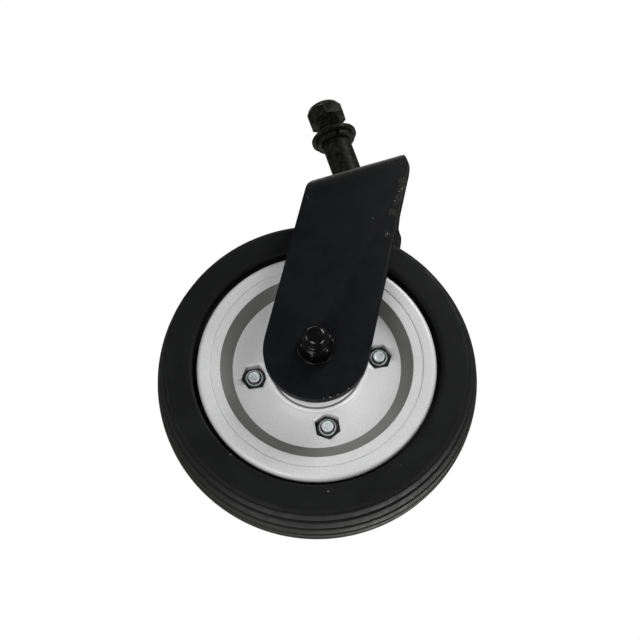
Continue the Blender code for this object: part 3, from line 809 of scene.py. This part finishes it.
def make_rim(end, sign, floor):
    node = f"rim_{end}"
    profile = [(radius, sign * depth) for radius, depth in softened(RIM_SECTION)]
    centre = (AXLE.x, 0.0, AXLE.z)
    rim = add_piece(node, turned(node, profile, centre=centre), "silver_paint", SILVER, DARK_SILVER_AND_SHADE, BEAD_HIGHLIGHT_SILVER)
    places = bolt_places()
    bosses = [prism("boss", circle(7.6 * MM, 40, spot), sign * GAP / 2, sign * 14 * MM) for _, spot in places]
    combine(rim, joined("bosses", bosses), "UNION")
    combine(rim, joined("pockets", [pocket_cutter(angle, spot, floor, sign) for angle, spot in places]))
    holes = [prism("hole", circle(M6_R + LOOSE, 32, spot), -sign * MM, sign * (floor + MM)) for _, spot in places]
    combine(rim, joined("holes", holes))
    # The cone takes the darker grey silver, and the groove round the hub takes it as painted shade.
    for face in rim.data.polygons:
        radius, depth = off_axis(face.center, (AXLE.x, AXLE.z)), abs(face.center.y)
        on_cone = DARK_CONE_INNER_R < radius < DARK_CONE_OUTER_R and depth > 16.5 * MM
        in_groove = 20.2 * MM < radius < 21.5 * MM and 19.0 * MM < depth < 20.1 * MM
        # The bead takes the lighter silver as a painted highlight.
        on_bead = 21.7 * MM < radius < 23.1 * MM and 19.3 * MM < depth < 21 * MM
        face.material_index = 1 if on_cone or in_groove else 2 if on_bead else 0


def make_rim_nut(number, angle, centre):
    """A locking nut: a hexagon, a neck rolled in at the top, and the nylon ring inside it."""
    node = f"rim_nut_{number}"
    low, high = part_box(node)
    seat, top = high.y, low.y
    shoulder = top + 1.6 * MM
    nut = add_piece(node, bpy.data.meshes.new(node), "zinc_plate", ZINC, SHADED_NYLON, SHADED_ZINC)
    hexagonal(nut, node, M6_FLATS, angle, centre, seat, shoulder, nut_form(M6_FLATS, seat, shoulder))
    base, lip = -shoulder / MM, -top / MM
    collar = softened([(0.0, base - 0.5, 0), (4.3, base - 0.5, 0), (4.3, lip - 0.7, 0.4), (3.9, lip, 0.1),
                       (0.0, lip, 0)])
    place = (centre[0], 0.0, centre[1])
    combine(nut, turned("collar", [(r, -h) for r, h in collar], centre=place, steps=48), "UNION")
    combine(nut, prism("bore", circle(3.35 * MM, 40, centre), seat + MM, top - MM))
    # The hexagon takes the darker zinc as painted shade of its pocket, and the bore wall takes the near-black nylon
    # ring.
    for face in nut.data.polygons:
        reach = max(off_axis(nut.data.vertices[i].co, centre) for i in face.vertices)
        on_lip = face.center.y < top + 0.12 * MM
        face.material_index = 1 if reach < 3.5 * MM else 0 if on_lip else 2


def off_axis(place, centre):
    """Distance of a place from an axis along Y through the (x, z) centre."""
    return math.hypot(place.x - centre[0], place.z - centre[1])


def make_rim_bolt(number, angle, centre):
    node = f"rim_bolt_{number}"
    low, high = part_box(node)
    seat = high.y - 4.0 * MM
    bolt = add_piece(node, bpy.data.meshes.new(node), "zinc_plate", ZINC, SHADED_ZINC)
    hexagonal(bolt, node, M6_FLATS, angle, centre, seat, high.y, nut_form(M6_FLATS, seat, high.y, "far"))
    place = (centre[0], 0.0, centre[1])
    dish = [(0.0, high.y - 0.4 * MM), (3.4 * MM, high.y - 0.4 * MM), (3.8 * MM, high.y + MM), (0.0, high.y + MM)]
    combine(bolt, turned("dish", dish, centre=place, steps=48))
    shank = threaded("thread", M6_R, 1.0 * MM, low.y, seat + OVERLAP, "Y", centre, 32)
    combine(bolt, shank, "UNION")
    hollow = [(0.0, low.y - MM), (1.9 * MM, low.y - MM), (1.5 * MM, low.y + 0.25 * MM), (0.0, low.y + 0.4 * MM)]
    combine(bolt, turned("hollow", hollow, centre=place, steps=32))
    # The shank, all but its end, takes the darker zinc as painted shade inside the hole.
    for face in bolt.data.polygons:
        face.material_index = 1 if low.y + 0.3 * MM < face.center.y < seat else 0


# ---------------------------------------------------------------- tyre

def tread_radius(across):
    """The tread's radius in millimetres at a distance from the mid-plane."""
    return TYRE_R - CROWN_DROP * across ** 2


def groove(centre):
    """A tread groove's corners, crossing it towards +Y."""
    low, high = centre - GROOVE_W / 2, centre + GROOVE_W / 2
    floor = tread_radius(centre) - GROOVE_DEPTH
    return [(tread_radius(low), low, 0.35), (floor, low + GROOVE_W / 4, 0.4),
            (floor, high - GROOVE_W / 4, 0.4), (tread_radius(high), high, 0.35)]


def tyre_section():
    side = [(45.95, 17.75, 0), (57.6, 17.75, 0.3), (57.6, 23.3, 1.3), (60.2, 23.22, 3.0), (69.2, 22.6, 1.5),
            (70.4, 22.1, 0.5), (70.5, 21.28, 0.15), (71.15, 21.2, 0.3)]
    tread = []
    for i in range(GROOVE_COUNT):
        tread += groove((i - (GROOVE_COUNT - 1) / 2) * GROOVE_PITCH)
    shoulder = (71.5, 20.7, 0.4)
    low_side = [(r, -w, fillet) for r, w, fillet in side + [shoulder]]
    return softened(low_side + tread + list(reversed(side + [shoulder])))


def make_tyre():
    mesh = turned("tyre", tyre_section(), centre=(AXLE.x, 0.0, AXLE.z), steps=256)
    add_piece("tyre", mesh, "tyre_rubber", RUBBER)


# ---------------------------------------------------------------- what stays as its node

def dress_hidden_nodes():
    """Materials for the bearings, sleeve and spacer inside the hub."""
    for node, thing in frame["nodes"].items():
        if thing.hide_render:
            continue
        thing.data.materials.clear()
        thing.data.materials.append(SEAL if "seal" in node else STEEL)


# ---------------------------------------------------------------- studio

def backdrop():
    """White to the camera, and a dim even light on the object."""
    world = bpy.data.worlds.new("studio")
    world.use_nodes = True
    nodes, links = world.node_tree.nodes, world.node_tree.links
    shade = nodes["Background"]
    seen = nodes.new("ShaderNodeBackground")
    seen.inputs["Color"].default_value = (1.0, 1.0, 1.0, 1.0)
    shade.inputs["Color"].default_value = (1.0, 1.0, 1.0, 1.0)
    shade.inputs["Strength"].default_value = 0.12
    path = nodes.new("ShaderNodeLightPath")
    blend = nodes.new("ShaderNodeMixShader")
    links.new(path.outputs["Is Camera Ray"], blend.inputs[0])
    links.new(shade.outputs[0], blend.inputs[1])
    links.new(seen.outputs[0], blend.inputs[2])
    links.new(blend.outputs[0], nodes["World Output"].inputs["Surface"])
    bpy.context.scene.world = world


def soft_light(name, direction, distance, size, power, warmth=(1.0, 1.0, 1.0)):
    """A square soft light that points at the wheel's hub from a direction."""
    lamp = bpy.data.lights.new(name, "AREA")
    lamp.shape = "SQUARE"
    lamp.size = size
    lamp.energy = power
    lamp.color = warmth
    made = bpy.data.objects.new(name, lamp)
    away = Vector(direction).normalized()
    made.location = AXLE + away * distance
    made.rotation_euler = away.to_track_quat("Z", "Y").to_euler()
    made.visible_camera = False
    bpy.context.scene.collection.objects.link(made)


def make_lights():
    soft_light("key", (0.70, -0.50, 0.50), 1.4, 0.5, 11.0)
    soft_light("low_right", (0.62, -0.36, -0.70), 1.1, 0.6, 5.5)
    soft_light("left", (-0.88, -0.28, 0.30), 1.2, 0.6, 3.5)
    soft_light("low_left", (-0.50, -0.76, -0.40), 1.2, 0.6, 6.5)
    soft_light("behind_below", (0.25, 0.70, -0.62), 0.9, 0.6, 4.0)
    soft_light("below_left", (-0.60, 0.42, -0.70), 0.9, 0.5, 3.0)
    soft_light("top", (0.10, 0.45, 0.89), 1.1, 0.9, 5.0)


def make_floor():
    """A pale floor under the tyre. It is seen from above only, because the camera looks up past it."""
    low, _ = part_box("tyre")
    bm = bmesh.new()
    bmesh.ops.create_grid(bm, x_segments=8, y_segments=8, size=4.0)
    bmesh.ops.translate(bm, verts=bm.verts, vec=(AXLE.x, 0.0, low.z - 0.2 * MM))
    mesh = bpy.data.meshes.new("floor")
    bm.to_mesh(mesh)
    bm.free()
    floor = bpy.data.objects.new("floor", mesh)
    bpy.context.scene.collection.objects.link(floor)
    surface = Finish("floor", roughness=0.8, specular=0.2)
    cloud = surface.ramp(surface.noise(0.4, 3), 0.3, 0.7)
    surface.set("Base Color", surface.mix(cloud, (0.60, 0.60, 0.60), (0.63, 0.63, 0.63)))
    surface.set("Emission Color", (1.0, 1.0, 1.0, 1.0))
    surface.set("Emission Strength", 0.85)
    side = surface.nodes.new("ShaderNodeNewGeometry")
    clear = surface.nodes.new("ShaderNodeBsdfTransparent")
    blend = surface.nodes.new("ShaderNodeMixShader")
    surface.links.new(side.outputs["Backfacing"], blend.inputs[0])
    surface.links.new(surface.shader.outputs[0], blend.inputs[1])
    surface.links.new(clear.outputs[0], blend.inputs[2])
    surface.links.new(blend.outputs[0], surface.nodes["Material Output"].inputs["Surface"])
    floor.data.materials.append(surface.material)
    floor.visible_shadow = False
    floor.visible_diffuse = False
    floor.visible_glossy = False


def make_camera():
    """The photograph's viewing angle: from the front, a little below, and rolled."""
    right = Vector((0.9527, 0.0101, -0.3038))
    up = Vector((0.2841, -0.3850, 0.8781))
    back = right.cross(up)
    camera = bpy.data.objects.new("camera", bpy.data.cameras.new("camera"))
    camera.data.lens = 67.5
    camera.data.clip_start = 0.01
    turn = Matrix((right, up, back)).transposed().to_4x4()
    camera.matrix_world = Matrix.Translation((-0.1015, -0.5405, -0.2726)) @ turn
    bpy.context.scene.collection.objects.link(camera)
    bpy.context.scene.camera = camera


# ---------------------------------------------------------------- everything

def main():
    bpy.context.scene.view_settings.view_transform = "Standard"
    make_fork()
    make_sleeve()
    make_spring_washer()
    make_flat_washer()
    make_pivot_bolt()
    make_pivot_nut()
    make_axle_washers()
    make_cap_nut()
    make_axle_bolt()
    make_side_spacers()
    make_rim("front", -1.0, 9.8 * MM)
    make_rim("back", 1.0, 11.8 * MM)
    for number, (angle, centre) in enumerate(bolt_places(), 1):
        make_rim_nut(number, angle, centre)
        make_rim_bolt(number, angle, centre)
    make_tyre()
    dress_hidden_nodes()
    backdrop()
    make_lights()
    make_floor()
    make_camera()


main()
